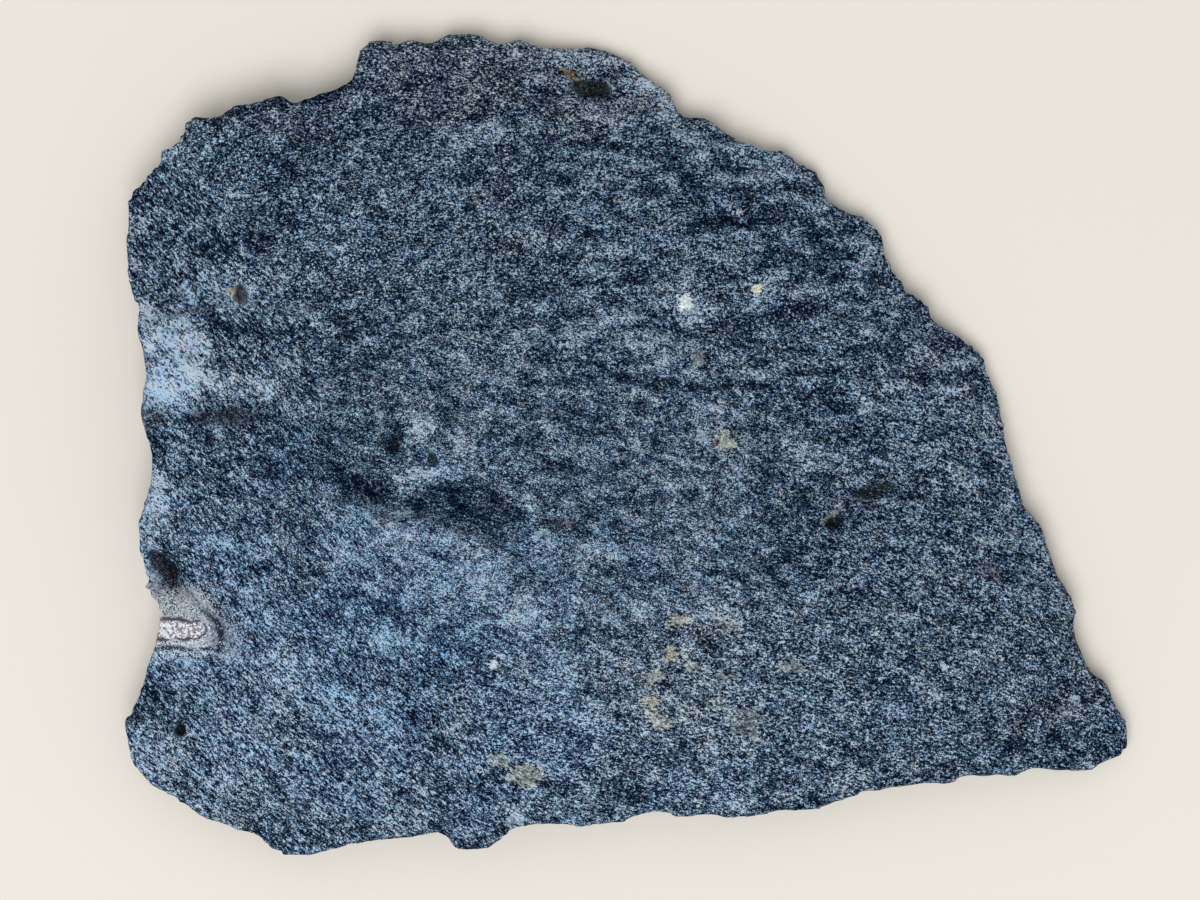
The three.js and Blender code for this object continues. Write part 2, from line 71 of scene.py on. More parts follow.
# Lighter and darker places of the fracture face, in millimetres and degrees. Most are its own colour; the lit
# slopes are painted light, and the trough, the cleft, the gap by the flake, the scoop and the right-hand edge painted
# shade:
# name, middle, half length, half width, turn from X, and lightness from -1, black, to 1, white
TONES = (
    ("pale facet at the left edge", (-45.9, 8.6), 4.2, 4.6, 0, 0.41),
    ("foot of the pale facet", (-46.9, 5), 2, 1.6, 0, 0.25),
    ("tail of the pale facet", (-39.6, 5.9), 4.2, 1.3, -14, 0.2),
    ("pale band over the facet", (-40, 15), 5, 1.4, -5, 0.22),
    ("pale left edge", (-47.6, -5.2), 1.6, 3.4, 0, 0.38),
    ("pale left edge by the scoop", (-48, -11), 1.2, 3, 0, 0.2),
    ("pale left edge, upper", (-49, 21.5), 1.8, 1, 0, 0.22),
    ("lit slope under the ledge", (-18, -12), 12, 5, -25, 0.12),
    ("lit slope, left part", (-26.5, -10.5), 4, 1.6, -10, 0.12),
    ("lit slope, right part", (-12.5, -14.4), 6, 2, -33, 0.1),
    ("pale band left of the slope", (-38, -10), 6, 1.2, 0, 0.14),
    ("pale lower left", (-36, -25.5), 15, 10, -20, 0.1),
    ("pale lower left corner", (-47.6, -31), 2.6, 3.4, 0, 0.18),
    ("pale patch, lower left 1", (-33, -23), 5, 1.8, -25, 0.08),
    ("pale patch, lower left 2", (-25, -27.5), 2.8, 3, 0, 0.13),
    ("pale by the filled cavity", (-41.5, -22.2), 3, 1.4, 0, 0.1),
    ("pale lower middle", (1, -26.5), 15, 8, 0, 0.06),
    ("pale lower middle, upper part", (3, -16.4), 9, 1.3, 0, 0.12),
    ("pale lower middle, left part", (-6.5, -22.5), 3, 1.5, 0, 0.1),
    ("pale lower edge 1", (10.5, -36.2), 1.6, 1, 0, 0.2),
    ("pale lower edge 2", (20.5, -34), 1.6, 1.5, 0, 0.14),
    ("pale upright band", (8, -3), 3.4, 11, 0, 0.05),
    ("pale middle", (-2.5, 10.5), 4, 2.6, 0, 0.1),
    ("pale streak under the middle", (-4, -10.3), 5, 0.8, -5, 0.16),
    ("pale arc at the right", (17.4, -0.9), 4.6, 1.3, -8, 0.12),
    ("pale spot at the right", (25.3, 4.4), 3, 1.6, 0, 0.12),
    ("pale spot at the right edge", (33.5, 3), 1.2, 1.2, 0, 0.14),
    ("pale ridge at the right-hand break", (20.5, 17), 6.2, 0.7, 26, 0.16),
    ("end of that ridge", (24.4, 19.6), 2.2, 1.2, 10, 0.08),
    ("pale crest", (-16, 30.3), 2.2, 1.6, 0, 0.1),
    ("pale crest over the olive crystal", (-4.6, 38.6), 3.6, 1.3, 0, 0.22),
    ("pale right-hand break", (2.8, 34.6), 1.8, 5, 50, 0.2),
    ("small pale patch, left", (-24, -19.2), 2.2, 1.6, 0, 0.13),
    ("small pale patch, middle", (-11.4, -17.2), 2.2, 1.5, -20, 0.12),
    ("small pale patch, lower", (2.8, -26.9), 2.2, 1.2, -20, 0.1),
    ("pale flake, top", (-20.4, 1.5), 1.4, 1.2, 0, 0.26),
    ("pale flake, left rim", (-21.9, -0.7), 0.5, 1.6, 0, 0.16),
    ("pale flake, foot", (-20.1, -3.2), 2.5, 0.75, 6, 0.28),
    ("pale flake, right", (-17, -1.3), 1.8, 1.1, -10, 0.18),
    ("dark inside the flake", (-21, -0.4), 0.4, 0.7, 0, -0.18),
    ("halo of the white mineral", (6.2, 13.6), 2.2, 1.5, -30, 0.17),
    ("halo of the cream mineral", (12, 15.2), 2.2, 1.2, 10, 0.13),
    # Painted shade in the trough over the ledge, on its wall that faces away from the light
    ("painted shade in the trough over the ledge, left", (-25.4, -4.6), 4.6, 1.1, -16, -0.25),
    ("painted shade in the trough over the ledge, right", (-15.4, -6.1), 4.2, 2.3, -16, -0.28),
    # Painted shade over the cleft
    ("cleft at the left", (-40, 2.4), 5, 1.2, 0, -0.07),
    ("gap in the pale facet", (-46.9, 8.4), 2, 0.6, 8, -0.22),
    ("pale facet's top end", (-48.2, 13.1), 1.1, 1.3, 0, 0.3),
    ("dark left of the flake", (-29, -0.8), 6, 3.4, 0, -0.08),
    # Painted shade in the gap beside the flake
    ("painted shade beside the flake", (-23.2, 0.2), 1, 1.8, 10, -0.2),
    ("dark shoulder", (-28.4, 31.4), 7, 4, 5, -0.05),
    ("dark edge of the shoulder", (-37.5, 34), 7, 0.9, 12, -0.2),
    ("dark edge by the notch", (-28, 36.8), 1.4, 1.4, 0, -0.2),
    ("dark edge, upper left", (-49.6, 24.8), 1.2, 1.6, 0, -0.14),
    ("dark upper left 1", (-39, 20), 4, 1.5, 5, -0.13),
    ("dark upper left 2", (-35.2, 22.4), 1.1, 2, 0, -0.12),
    ("dark over the facet's tail", (-39.5, 11.4), 5.5, 1, -4, -0.16),
    ("dark fold", (-27.6, 9), 2.4, 5, 0, -0.13),
    ("dark fold, upper part", (-25, 16.2), 4, 0.9, 5, -0.12),
    ("dark right-hand break", (17, 20.6), 8, 3, -12, -0.05),
    ("dark streak 1", (5, 27.8), 3.2, 1.4, -50, -0.18),
    ("dark streak 2", (9, 21.8), 5, 0.8, 3, -0.18),
    ("dark streak 3", (-0.8, 15.2), 3, 0.8, 5, -0.18),
    ("dark streak 4", (-7.8, 22.6), 1.6, 0.9, 0, -0.18),
    ("dark streak 5", (-6, 18.2), 1.8, 1.4, 30, -0.14),
    ("dark streak 6", (18, 13.6), 4.4, 0.8, 16, -0.16),
    ("dark under the white spot", (12.6, 12.2), 5, 1.3, 5, -0.13),
    ("dark right middle", (18.6, 3.6), 4.4, 2.4, 0, -0.09),
    ("dark right", (21, -6.4), 6.5, 2.4, 5, -0.08),
    ("dark streak, lower right", (14.4, -11.6), 4.6, 0.9, 20, -0.18),
    ("dark upper middle", (-11, 27.4), 4, 3, 0, -0.05),
    ("dark crest band", (-17, 33), 6, 0.9, 5, -0.1),
    ("dark middle", (-6.4, -2.4), 2.6, 0.9, -20, -0.18),
    ("dark under the middle", (1.4, -12.8), 4, 0.8, -8, -0.13),
    ("dark lower left edge", (-47.4, -26.4), 1.7, 2.8, 0, -0.2),
    ("dark fold, lower left", (-30.4, -30.8), 3.4, 1.2, -52, -0.16),
    ("dark speckle 1", (8, -20.6), 1.2, 1, 0, -0.14),
    ("pale speckle, lower left", (-16.4, -21.6), 1.6, 1, 0, 0.14),
    ("dark speckle 3", (13, -27.2), 1.5, 1, 0, -0.12),
    ("dark lower middle", (3, -31), 2.6, 1.2, -35, -0.14),
    ("dark lower edge", (0.6, -34.2), 3, 1.6, 0, -0.1),
    ("dark lower right 1", (24, -24.8), 1.3, 1, 0, -0.14),
    ("dark lower right 2", (22.4, -31), 1.6, 1, 0, -0.14),
    ("dark right tip", (42.5, -30.6), 6, 2, 0, -0.06),
    ("pale speckle 1", (1.3, 22.8), 1.6, 1.3, 0, 0.2),
    ("pale speckle 2", (-12.5, 7.3), 1.5, 1.5, 0, 0.14),
    ("pale speckle 3", (-2.5, 5.5), 2.5, 2.5, 0, 0.08),
    ("pale speckle 4", (8.4, 15.4), 1.4, 1, 0, 0.1),
    ("pale speckle 5", (4.8, -13.6), 1.6, 1.1, 0, 0.12),
    ("pale speckle 6", (-15, -26.5), 2.2, 1.4, 0, 0.14),
    ("pale speckle 7", (-41, -33.2), 1.5, 2.2, 0, 0.12),
    ("pale speckle 8", (-37.5, -28), 1.2, 2.4, 15, 0.12),
    ("pale speckle 9", (-45.5, 28.2), 2, 1.4, -40, 0.16),
    ("pale speckle 10", (-22.6, -20), 1.2, 1.2, 0, 0.1),
    ("pale right edge, upper", (32.3, 8.3), 2.4, 1.2, 30, 0.12),
    ("pale right edge, middle", (36.5, 1.5), 1.2, 2, 0, 0.1),
    ("pale right edge, lower", (39, -7.5), 1.8, 2.6, 20, 0.12),
    ("pale streak over the cleft", (-37.5, 6.3), 3, 0.9, -25, 0.12),
    ("pale speckle over the cleft", (-33.4, 3.5), 1.4, 1.8, 0, 0.13),
    ("pale under the filling", (-45.5, -21.1), 2.5, 1.1, 0, 0.14),
    ("dark speckle 4", (-3, 20.8), 2, 2.2, 0, -0.16),
    ("dark speckle 5", (0, 29.9), 1.8, 1, 0, -0.15),
    ("dark speckle 6", (-1.3, 25.2), 1.2, 1, 0, -0.1),
    ("dark speckle 7", (12.4, 12.6), 1.4, 1, 0, -0.14),
    ("dark speckle 8", (21.5, 11.2), 1.8, 0.9, 0, -0.16),
    ("dark speckle 9", (7.8, 11.9), 1.5, 1, 0, -0.16),
    ("dark speckle 10", (-9.3, 3.6), 1.4, 2.2, 0, -0.13),
    ("dark speckle 11", (-7, 10.8), 1.4, 1.1, 0, -0.13),
    ("dark speckle 12", (2.6, 8.7), 2, 1, 0, -0.1),
    ("dark speckle 13", (0.2, -18.3), 1.6, 1, 0, -0.18),
    ("dark speckle 14", (19.8, -3), 1.8, 1, 0, -0.13),
    ("dark speckle 15", (0.6, -3.9), 2.6, 0.9, 0, -0.14),
    ("dark speckle 16", (-44, 23.6), 2.6, 1, -15, -0.1),
    ("dark speckle 17", (-33.5, 27.4), 1.4, 1.4, 0, -0.13),
    ("dark speckle 18", (35.6, -28.3), 1.4, 1.6, -30, -0.14),
    ("dark speckle 19", (42.8, -24.2), 1.6, 1.2, 0, -0.1),
    ("dark streak 7", (10.5, 3), 3.6, 0.8, 0, -0.12),
    ("dark under the cleft", (-36, -2.5), 2, 1.1, 0, -0.14),
    ("dark left edge", (-47, -0.6), 1.2, 1.8, 0, -0.14),
    ("dark fold over the lower left", (-29, -22), 6, 1.6, -43, -0.1),
    ("dark edge left of the notch", (-31.5, 34.8), 3.4, 0.9, 12, -0.22),
    # Painted shade along the right-hand edge
    ("dark right-hand edge", (28.5, 15.5), 4, 0.8, -45, -0.1),
    ("dark right-hand edge, lower end", (30, 13.4), 1.6, 1.2, -45, -0.14),
    # Painted soft shade in the scoop
    ("painted soft shade in the scoop", (-45.7, -12), 2.4, 0.9, -49, -0.24),
    ("pale facet's upper right", (-43.5, 10.8), 2.4, 1.4, 0, 0.14),
    ("pale facet's lower right", (-44.3, 3.8), 2, 1.3, 0, 0.14),
    ("pale under the olive crystal", (-4.8, 32.8), 2.6, 1.4, 0, 0.12),
    ("pale right of the olive crystal", (1, 34.5), 2.2, 1.2, 0, 0.1),
    ("pale by the cream mineral", (12, 15.7), 3, 0.7, 0, 0.1),
    ("pale arc at the right, outer", (25, 3.7), 3.4, 0.8, 0, 0.1),
    ("pale lower edge, left 1", (-23.5, -37.6), 1.6, 1, 0, 0.15),
    ("pale lower edge, left 2", (-11, -36.8), 1.2, 1.2, 0, 0.15),
    ("pale speckle 11", (-7, 0.2), 4, 1.1, 0, 0.09),
    ("pale speckle 12", (-0.4, -0.8), 1.4, 1.1, 0, 0.12),
    ("pale speckle 13", (-23, -8.6), 2.4, 0.9, 0, 0.11),
    ("pale speckle 14", (45, -26.9), 1, 0.9, 0, 0.12),
    ("pale speckle 15", (9.5, -26.8), 2, 0.8, 0, 0.1),
    ("pale speckle 16", (-0.6, -21.8), 1.4, 1, 0, 0.12),
    ("dark speckle 20", (-17, 3), 1.8, 1.3, 20, -0.13),
    ("dark speckle 21", (-4, -7.3), 1.4, 0.8, -30, -0.13),
    ("dark speckle 22", (-21, -5.6), 1.6, 0.9, 0, -0.13),
    ("dark speckle 23", (12, -7.8), 1.2, 1.2, 0, -0.13),
    ("dark speckle 24", (38.5, -29.8), 1.3, 1.3, 0, -0.13),
    ("dark speckle 25", (-24.6, -22.2), 1.6, 1.2, 0, -0.13),
    ("dark lower edge, right", (18, -36), 1.8, 0.9, 10, -0.18),
    ("pale speckle 17", (-28.5, -7.4), 1.3, 1.6, -30, 0.12),
    ("pale speckle 18", (19.8, 17.2), 1.4, 0.9, 0, 0.1),
    ("pale speckle 19", (-23.6, 39.4), 1.8, 0.9, 0, 0.13),
    ("pale speckle 20", (-8.4, 19), 1.3, 1, 0, 0.12),
    ("pale speckle 21", (-24, 10), 1.7, 1.2, 0, 0.12),
    ("pale speckle 22", (27.8, -14.6), 1.5, 1.2, 0, 0.11),
    ("pale speckle 23", (15.3, -25.8), 1.2, 1.5, 0, 0.11),
    ("pale speckle 24", (21.6, -27.6), 1.5, 1, 0, 0.1),
    ("pale speckle 25", (-10.6, -31.2), 1.5, 1.1, 0, 0.12),
    ("dark speckle 26", (8.6, 18.4), 1.8, 0.9, -10, -0.13),
    ("dark speckle 27", (-23.4, -11), 1.7, 1.1, 0, -0.14),
    ("dark speckle 28", (-24.6, -28.6), 1.5, 1.2, -30, -0.15),
    ("dark speckle 29", (17, 6.5), 1.9, 0.9, 0, -0.13),
    ("dark speckle 30", (15.6, -33.4), 2.4, 1.4, -30, -0.09),
    ("dark speckle 31", (8.6, 27), 1.3, 1.5, 30, -0.12),
    ("dark speckle 32", (-36.4, -22.6), 1.6, 1.1, 0, -0.11),
    ("dark right of the filling", (-39.2, -19.2), 1, 2, 0, -0.1),
    ("dark left edge over the facet", (-49.3, 17.3), 1, 1.4, 0, -0.14),
    ("dark notch corner", (-33, 35.2), 2.4, 0.7, 8, -0.15),
    ("dark over the fold", (-31.5, 10.5), 1.7, 1.2, 0, -0.13),
    ("dark middle, upper", (-4.4, 2), 2.4, 1.1, 0, -0.13),
    ("dark right-hand edge, middle", (33, 0), 1.5, 1.6, 0, -0.14),
    ("dark by the right-hand edge", (24, 15.6), 1.8, 2.2, 0, -0.1),
    ("dark under the crest", (-10.5, 33), 1.2, 1.7, -30, -0.14),
    ("dark right of the cleft", (-39, -0.5), 1.2, 1.7, 0, -0.13),
    ("dark left of the slope", (-30.6, -10.6), 1.3, 1.3, 0, -0.15),
    ("pale lower middle, foot", (2.6, -33.6), 2, 1, 0, 0.14),
    ("pale left edge, lower part", (-46, -6.6), 1.3, 1.7, 0, 0.13),
    ("pale lower left, foot", (-31, -35.4), 2.2, 1.2, 0, 0.13),
    ("pale right tip, upper", (37.6, -24.4), 2, 1.2, 0, 0.12),
    ("pale over the cleft, left", (-43.4, 1), 1.6, 1.1, 0, 0.13),
)

# Broad tints of the rock: name, middle, half length, half width, turn, and from -1, grey, to 1, blue
TINTS = (
    ("bluer lower left", (-26, -21), 30, 17, -15, 1.0),
    ("greyer crest", (-14, 40), 26, 10, 0, -1.2),
    ("greyer stained rock", (4, -23), 7, 7, 0, -1.2),
    ("bluer pale facet", (-46, 8), 5, 6, 0, 0.4),
    ("greyer right tip", (42, -22), 12, 10, -40, -0.4),
)

# Hollows that the solid leaves out: name, middle, half length, half width, turn and depth
PITS = (
    ("gas bubble at the lower left", (-44.95, -28.65), 0.62, 0.55, 20, 0.9),
    ("scoop by the notch", (-46.4, -12.6), 2.6, 0.9, -49, 0.6),
    ("groove over the filled cavity", (-44.6, -17.2), 2.4, 0.45, -8, 0.35),
    ("groove under the filled cavity", (-43.4, -21.1), 3, 0.35, 4, 0.3),
    ("groove right of the filled cavity", (-40.4, -19.4), 0.35, 1.6, 12, 0.3),
    ("cleft at the left", (-40.5, 2.6), 4.6, 0.7, 0, 0.4),
    ("crack over the pale facet", (-44, 13.3), 3.4, 0.5, 14, 0.3),
    ("hole by the tan crystal", (-38.4, 14.6), 0.6, 0.9, -20, 0.4),
    ("olive hollow at the crest", (-4, 36), 2.2, 0.9, -10, 0.4),
    ("olive hollow at the right", (20.5, -7.6), 1.3, 0.6, 15, 0.35),
    ("dark hollow at the right", (24, -4.6), 1.5, 0.6, 10, 0.35),
    ("dark crack at the lower left edge", (-49.4, -27.2), 1.2, 0.4, -15, 0.35),
)

# Colours of the mineral spots and of the painted shade in cracks and hollows, as linear light
WHITE = (0.64, 0.73, 0.74)
CREAM = (0.68, 0.7, 0.56)
PALE = (0.46, 0.55, 0.63)
TAN = (0.42, 0.41, 0.32)
GREY_TAN = (0.34, 0.37, 0.35)
GREEN_TAN = (0.36, 0.39, 0.3)
PALE_BLUE = (0.34, 0.45, 0.57)
PINK = (0.33, 0.3, 0.32)
TEAL = (0.25, 0.4, 0.4)
JADE = (0.03, 0.15, 0.12)
GREEN = (0.003, 0.02, 0.02)
OLIVE = (0.006, 0.008, 0.005)
ORANGE = (0.16, 0.09, 0.025)
RUST = (0.1, 0.04, 0.03)
BROWN = (0.035, 0.024, 0.02)
DARK_BROWN = (0.018, 0.014, 0.018)
BROWN_BLACK = (0.008, 0.005, 0.006)
BLACK = (0.003, 0.003, 0.004)

# Mineral spots and stains of the fracture face, and painted shade in its cracks, cleft, gap, scoop and holes:
# name, middle, half length, half width, turn, colour, and how much of the grain they cover
SPOTS = (
    ("pale rim of the white mineral", (6.1, 13.6), 1.5, 1.1, -30, PALE_BLUE, 0.5),
    ("white mineral", (5.55, 14.05), 0.95, 0.75, -30, WHITE, 0.97),
    ("cream mineral", (12.75, 15.35), 0.65, 0.6, 0, CREAM, 0.97),
    ("green-tan mineral", (9.4, 0.2), 1.2, 1.05, -30, GREEN_TAN, 0.68),
    ("rust edge of it", (8.5, 0), 0.45, 0.35, 50, RUST, 0.7),
    ("pale blue mineral beside it", (7.2, 0.8), 1.1, 0.5, -30, PALE_BLUE, 0.65),
    ("pale blue bit over it", (9.1, 1.7), 0.45, 0.45, 0, PALE_BLUE, 0.6),
    ("dark rim over it", (7.7, 2.4), 1.2, 0.4, 5, DARK_BROWN, 0.55),
    ("dark rim at its left", (5.6, 1.4), 0.35, 0.65, 0, BLACK, 0.6),
    ("dark rim at its right", (10.6, 1.6), 0.5, 0.9, 20, BLACK, 0.5),
    ("purplish spot at its right", (12.2, -0.9), 0.75, 0.35, -20, BROWN_BLACK, 0.7),
    ("pale tan spot", (6.85, 8.35), 1, 0.8, 0, GREY_TAN, 0.5),
    ("pale spot, lower left", (-13.45, -21.95), 0.55, 0.5, 0, PALE, 0.9),
    ("pale spot, lower right", (31.35, -22.35), 0.45, 0.45, 0, PALE, 0.9),
    ("dark spot beside it", (30.5, -22.35), 0.35, 0.35, 0, BLACK, 0.7),
    ("tan crystal", (-39.6, 15.1), 0.5, 0.6, 0, TAN, 0.85),
    ("brown crystal", (-38.7, 14.8), 0.65, 0.95, 10, BROWN, 0.9),
    ("pale spot by the right tip", (44.85, -25.65), 0.6, 0.4, 0, PALE_BLUE, 0.7),
    ("teal flake", (-8.85, -8.95), 0.9, 0.5, 30, TEAL, 0.7),
    ("pale flake, top", (-20.4, 1.7), 1.3, 0.9, 20, PALE_BLUE, 0.5),
    ("pale flake, foot", (-20.2, -3), 2.1, 0.6, 8, PALE_BLUE, 0.5),
    ("green rim of the green speck", (-19.9, -0.8), 0.7, 0.3, -25, JADE, 0.8),
    ("green speck", (-19.4, -1.5), 0.8, 0.45, -50, GREEN, 0.96),
    # Painted shade in the gap beside the flake
    ("painted shade in the gap left of the flake", (-23.2, 0), 0.45, 1.1, 0, BROWN_BLACK, 0.7),
    ("olive crystal at the crest", (-3.95, 35.75), 2.1, 0.95, -5, OLIVE, 0.95),
    ("orange rim of it", (-6, 37.2), 1.2, 0.5, -25, ORANGE, 0.75),
    ("dark crystal at the right", (24.3, -4.65), 2.1, 0.7, 18, OLIVE, 0.85),
    ("tan edge of the olive crystal", (20.2, -6.9), 1.6, 0.3, 40, GREY_TAN, 0.55),
    ("olive crystal at the right", (20.5, -7.75), 1.15, 0.6, 32, OLIVE, 0.92),
    ("rust streak, left", (-16.55, -8.75), 1.1, 0.4, -10, BROWN, 0.7),
    ("rust streak, middle", (-6.6, -7.85), 1.85, 0.4, -5, BROWN, 0.7),
    ("tan stain 1", (4.85, -17.45), 1.2, 0.8, 0, TAN, 0.55),
    ("tan stain 2", (9.85, -18.15), 1.3, 0.9, 0, GREY_TAN, 0.4),
    ("tan stain 3", (4.05, -20.85), 0.7, 0.9, 0, TAN, 0.7),
    ("tan stain 4", (6.05, -22.15), 0.8, 0.5, 0, GREY_TAN, 0.45),
    ("tan stain 5", (2.55, -23.15), 1.2, 0.7, 20, GREY_TAN, 0.6),
    ("tan stain 6", (2.05, -25.65), 0.9, 0.9, 0, TAN, 0.65),
    ("tan stain 7", (2.9, -27.6), 1.4, 0.8, -40, TAN, 0.55),
    ("tan stain 8", (16.05, -22.15), 1.6, 0.8, -10, GREY_TAN, 0.45),
    ("tan stain 9", (11.55, -27.65), 1.8, 2, 0, GREY_TAN, 0.35),
    ("tan stain 10", (9.3, -23.2), 1.4, 0.8, 0, GREY_TAN, 0.35),
    ("tan stain 11", (8.8, -26), 1.3, 0.7, -20, GREY_TAN, 0.35),
    ("greenish stain, upper", (-12.8, -31.6), 1.3, 0.8, -30, GREEN_TAN, 0.5),
    ("greenish stain, lower", (-10.4, -33), 2, 1.3, -10, GREEN_TAN, 0.55),
    ("pale lower edge", (-11.45, -37.65), 1.2, 0.8, 0, PALE_BLUE, 0.5),
    ("reddish tint, right", (36.55, -13.15), 0.9, 0.8, 0, RUST, 0.45),
    ("reddish tint, middle", (6.05, -14.15), 1, 0.8, 0, RUST, 0.4),
    # Dark brown painted shade in the cleft
    ("brown painted shade in the cleft at the left", (-40.6, 2.7), 3.3, 0.8, 0, DARK_BROWN, 0.72),
    # Brown painted shadow in a hollow at the left edge
    ("brown painted shadow of a hollow at the left edge", (-47.5, 2.35), 1.2, 0.9, 0, BROWN, 0.6),
    ("dark speck, left 1", (-48.1, 8.3), 0.7, 0.35, 8, BLACK, 0.6),
    ("dark speck, left 2", (-43.65, 8.45), 0.45, 0.35, 0, BLACK, 0.6),
    # Painted shade in the crack over the pale facet
    ("crack over the pale facet", (-44, 13.3), 3, 0.35, 14, BLACK, 0.55),
    ("pale lip of the scoop", (-47.6, -13.4), 0.9, 1.5, 30, PALE_BLUE, 0.45),
    # Painted shade at the bottom of the scoop
    ("painted shade at the bottom of the scoop", (-46.5, -12.7), 2.5, 0.72, -49, BROWN_BLACK, 0.92),
    ("pinkish rock over the filling", (-44.8, -15.3), 2.6, 0.7, -8, PINK, 0.45),
    ("dark patch over the filling", (-43.7, -16.4), 0.6, 0.25, 0, BLACK, 0.8),
    ("purplish rock right of the filling", (-41.3, -16.6), 1.6, 0.6, -50, BROWN, 0.4),
    # Painted shade inside the gas bubble
    ("painted shade at the bottom of the gas bubble", (-44.95, -28.65), 0.68, 0.6, 20, BLACK, 0.99),
    # Painted shade in the crack at the lower left edge
    ("crack at the lower left edge", (-49.4, -27.2), 1.1, 0.35, -15, BLACK, 0.8),
    ("pale blue under the filling, left", (-46.9, -20.3), 0.8, 0.4, 0, PALE_BLUE, 0.5),
    ("pale blue under the filling, right", (-42.9, -20.9), 1.1, 0.4, 0, PALE_BLUE, 0.45),
)

# The cavity filled with pale mineral at the left edge: each shell's middle, half length and half width
FILLING_OUTER = ((-47.2, -18.1), 6.5, 2.35)
FILLING_INNER = ((-47.2, -18.55), 5.1, 1.05)

# Colours of that filling, as linear light
FILLING_UNDER = (0.52, 0.57, 0.66, 1)
FILLING_OVER = (0.37, 0.43, 0.46, 1)
FILLING_TOP = (0.3, 0.3, 0.34, 1)
FILLING_RIGHT = (0.23, 0.26, 0.33, 1)
FILLING_CORE = (0.74, 0.76, 0.79, 1)
FILLING_SHADE = (0.27, 0.25, 0.29, 1)
FILLING_SPECKLE = (0.06, 0.055, 0.08, 1)
INNER_LINE = (0.075, 0.045, 0.045, 1)
OUTER_LINE = (0.01, 0.005, 0.007, 1)

# Half heights of the ovals: marks reach through the whole slab, and pits stay near its upper face
MARK_REACH_MM = 60
PIT_REACH_MM = 3


class Wiring:
    """Adds nodes to a node tree and links them in one call each."""

    def __init__(self, tree):
        self.tree = tree

    def node(self, kind, settings=None, **inputs):
        made = self.tree.nodes.new(kind)
        for name, value in (settings or {}).items():
            setattr(made, name, value)
        for name, value in inputs.items():
            self.feed(made.inputs[name.replace("_", " ")], value)
        return made

    def feed(self, socket, value):
        if isinstance(value, bpy.types.NodeSocket):
            self.tree.links.new(value, socket)
        else:
            socket.default_value = value

    def maths(self, operation, *values, clamp=False):
        made = self.node("ShaderNodeMath", {"operation": operation, "use_clamp": clamp})
        for socket, value in zip(made.inputs, values):
            self.feed(socket, value)
        return made.outputs[0]

    def vector(self, operation, *values):
        made = self.node("ShaderNodeVectorMath", {"operation": operation})
        for socket, value in zip(made.inputs, values):
            self.feed(socket, value)
        return made.outputs[0]

    def length(self, value):
        made = self.node("ShaderNodeVectorMath", {"operation": "LENGTH"})
        self.feed(made.inputs[0], value)
        return made.outputs["Value"]

    def scaled(self, value, factor):
        made = self.node("ShaderNodeVectorMath", {"operation": "SCALE"}, Vector=value)
        self.feed(made.inputs["Scale"], factor)
        return made.outputs[0]

    def parts(self, value):
        return self.node("ShaderNodeSeparateXYZ", Vector=value).outputs

    def turned(self, value, angle):
        made = self.node("ShaderNodeVectorRotate", {"rotation_type": "Z_AXIS"}, Vector=value)
        self.feed(made.inputs["Angle"], angle)
        return made.outputs[0]

    def ramp(self, value, low, high, out_low=0.0, out_high=1.0):
        made = self.node("ShaderNodeMapRange", {"interpolation_type": "SMOOTHSTEP"}, Value=value)
        for name, number in (("From Min", low), ("From Max", high), ("To Min", out_low), ("To Max", out_high)):
            self.feed(made.inputs[name], number)
        return made.outputs["Result"]

    def noise(self, place, cell_mm, detail=0.0, roughness=0.5):
        made = self.node(
            "ShaderNodeTexNoise", Vector=place, Scale=1 / cell_mm, Detail=detail, Roughness=roughness
        )
        return made.outputs[0]

    def wander(self, place, cell_mm, reach_mm):
        """The place moved about at random, by up to about half the reach each way."""
        made = self.node("ShaderNodeTexNoise", Vector=place, Scale=1 / cell_mm, Detail=2.0)
        moved = self.scaled(self.vector("SUBTRACT", made.outputs[1], (0.5, 0.5, 0.5)), reach_mm)
        return self.vector("ADD", place, moved)

    def grains(self, place, cell_mm):
        """A random value for each grain."""
        made = self.node("ShaderNodeTexVoronoi", Vector=place, Scale=1 / cell_mm)
        return self.parts(made.outputs["Color"])[0]

    def centred(self, value, gain):
        return self.maths("MULTIPLY", self.maths("SUBTRACT", value, 0.5), gain)

    def total(self, *values):
        result = values[0]
        for value in values[1:]:
            result = self.maths("ADD", result, value)
        return result

    def mixed(self, share, first, second):
        made = self.node("ShaderNodeMix", {"data_type": "FLOAT"})
        self.feed(made.inputs[0], share)
        self.feed(made.inputs[2], first)
        self.feed(made.inputs[3], second)
        return made.outputs[0]

    def mixed_vectors(self, share, first, second):
        made = self.node("ShaderNodeMix", {"data_type": "VECTOR"})
        self.feed(made.inputs[0], share)
        self.feed(made.inputs[4], first)
        self.feed(made.inputs[5], second)
        return made.outputs[1]

    def blended(self, share, first, second, kind="MIX"):
        made = self.node("ShaderNodeMix", {"data_type": "RGBA", "blend_type": kind})
        self.feed(made.inputs[0], share)
        self.feed(made.inputs[6], first)
        self.feed(made.inputs[7], second)
        return made.outputs[2]

    def group(self, tree, **inputs):
        kind = "GeometryNodeGroup" if self.tree.bl_idname == "GeometryNodeTree" else "ShaderNodeGroup"
        return self.node(kind, {"node_tree": tree}, **inputs)

    def stored(self, geometry, kind, name, value):
        """The geometry with that value kept at each point under that name."""
        made = self.node("GeometryNodeStoreNamedAttribute", {"data_type": kind, "domain": "POINT"}, Geometry=geometry)
        made.inputs["Name"].default_value = name
        self.feed(next(socket for socket in made.inputs if socket.name == "Value" and socket.enabled), value)
        return made.outputs[0]


